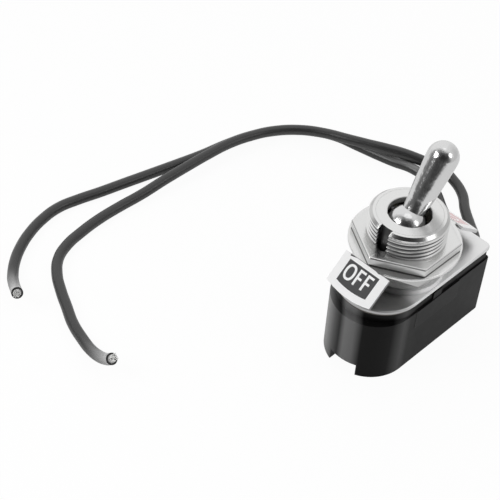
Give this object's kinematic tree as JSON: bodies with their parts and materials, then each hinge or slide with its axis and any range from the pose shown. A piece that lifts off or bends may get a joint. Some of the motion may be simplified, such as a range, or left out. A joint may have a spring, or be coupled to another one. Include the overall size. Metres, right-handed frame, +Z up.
{
  "type": "toggle switch",
  "caption": "Panel toggle switch with a chrome bat lever, threaded bushing, two hex nuts, an ON/OFF legend plate and two loose wire leads.",
  "frame": {"origin": "bottom centre of the switch without its leads, on the housing's rim", "axes": "+Z up along the bushing, +X from the round OFF end to the square ON end, +Y to the left of +X"},
  "size_m": [0.0771, 0.0648, 0.0342],
  "materials": {
    "black_moulding": "gloss",
    "fibre": "matte",
    "nickel_plate": "polished",
    "nickel_brass": "satin",
    "nickel_nut": "satin",
    "legend_white": "satin",
    "chrome": "polished",
    "ivory_plastic": "satin",
    "spring_steel": "satin",
    "bare_brass": "satin",
    "silver": "satin",
    "black_pvc": "satin",
    "tinned_strand": "satin"
  },
  "bodies": {
    "base": {"housing": "black_moulding", "insulating_sheet": "fibre", "frame_plate": "nickel_plate", "bushing": "nickel_brass", "lower_nut": "nickel_nut", "legend_plate": "legend_white", "upper_nut": "nickel_nut", "spring_seat": "fibre", "return_spring": "spring_steel", "front_terminal": "bare_brass", "rear_terminal": "bare_brass", "fixed_contacts": "silver", "terminal_rivets": "bare_brass", "base_sheet": "fibre", "crimp_barrels": "bare_brass", "wire_1": "black_pvc", "wire_2": "black_pvc", "conductor_1": "tinned_strand", "conductor_2": "tinned_strand"},
    "lever": {"bat_lever": "chrome", "pivot_pin": "spring_steel"},
    "plunger": {"plunger": "ivory_plastic", "contact_bridge": "bare_brass", "bridge_contacts": "silver"}
  },
  "joints": [
    {"name": "lever_tilt", "type": "hinge", "parent": "base", "child": "lever", "pos_m": [-0.0006, 0, 0.023], "axis": [0, -1, 0], "range_deg": [0, 66]},
    {"name": "plunger_slide", "type": "slide", "parent": "base", "child": "plunger", "axis": [0, 0, 1], "range_m": [0, 0.00132], "deforming": ["return_spring"]}
  ],
  "couplings": [
    {"joint": "plunger_slide", "follows": "lever_tilt", "m_per_rad": 0.0011347}
  ]
}
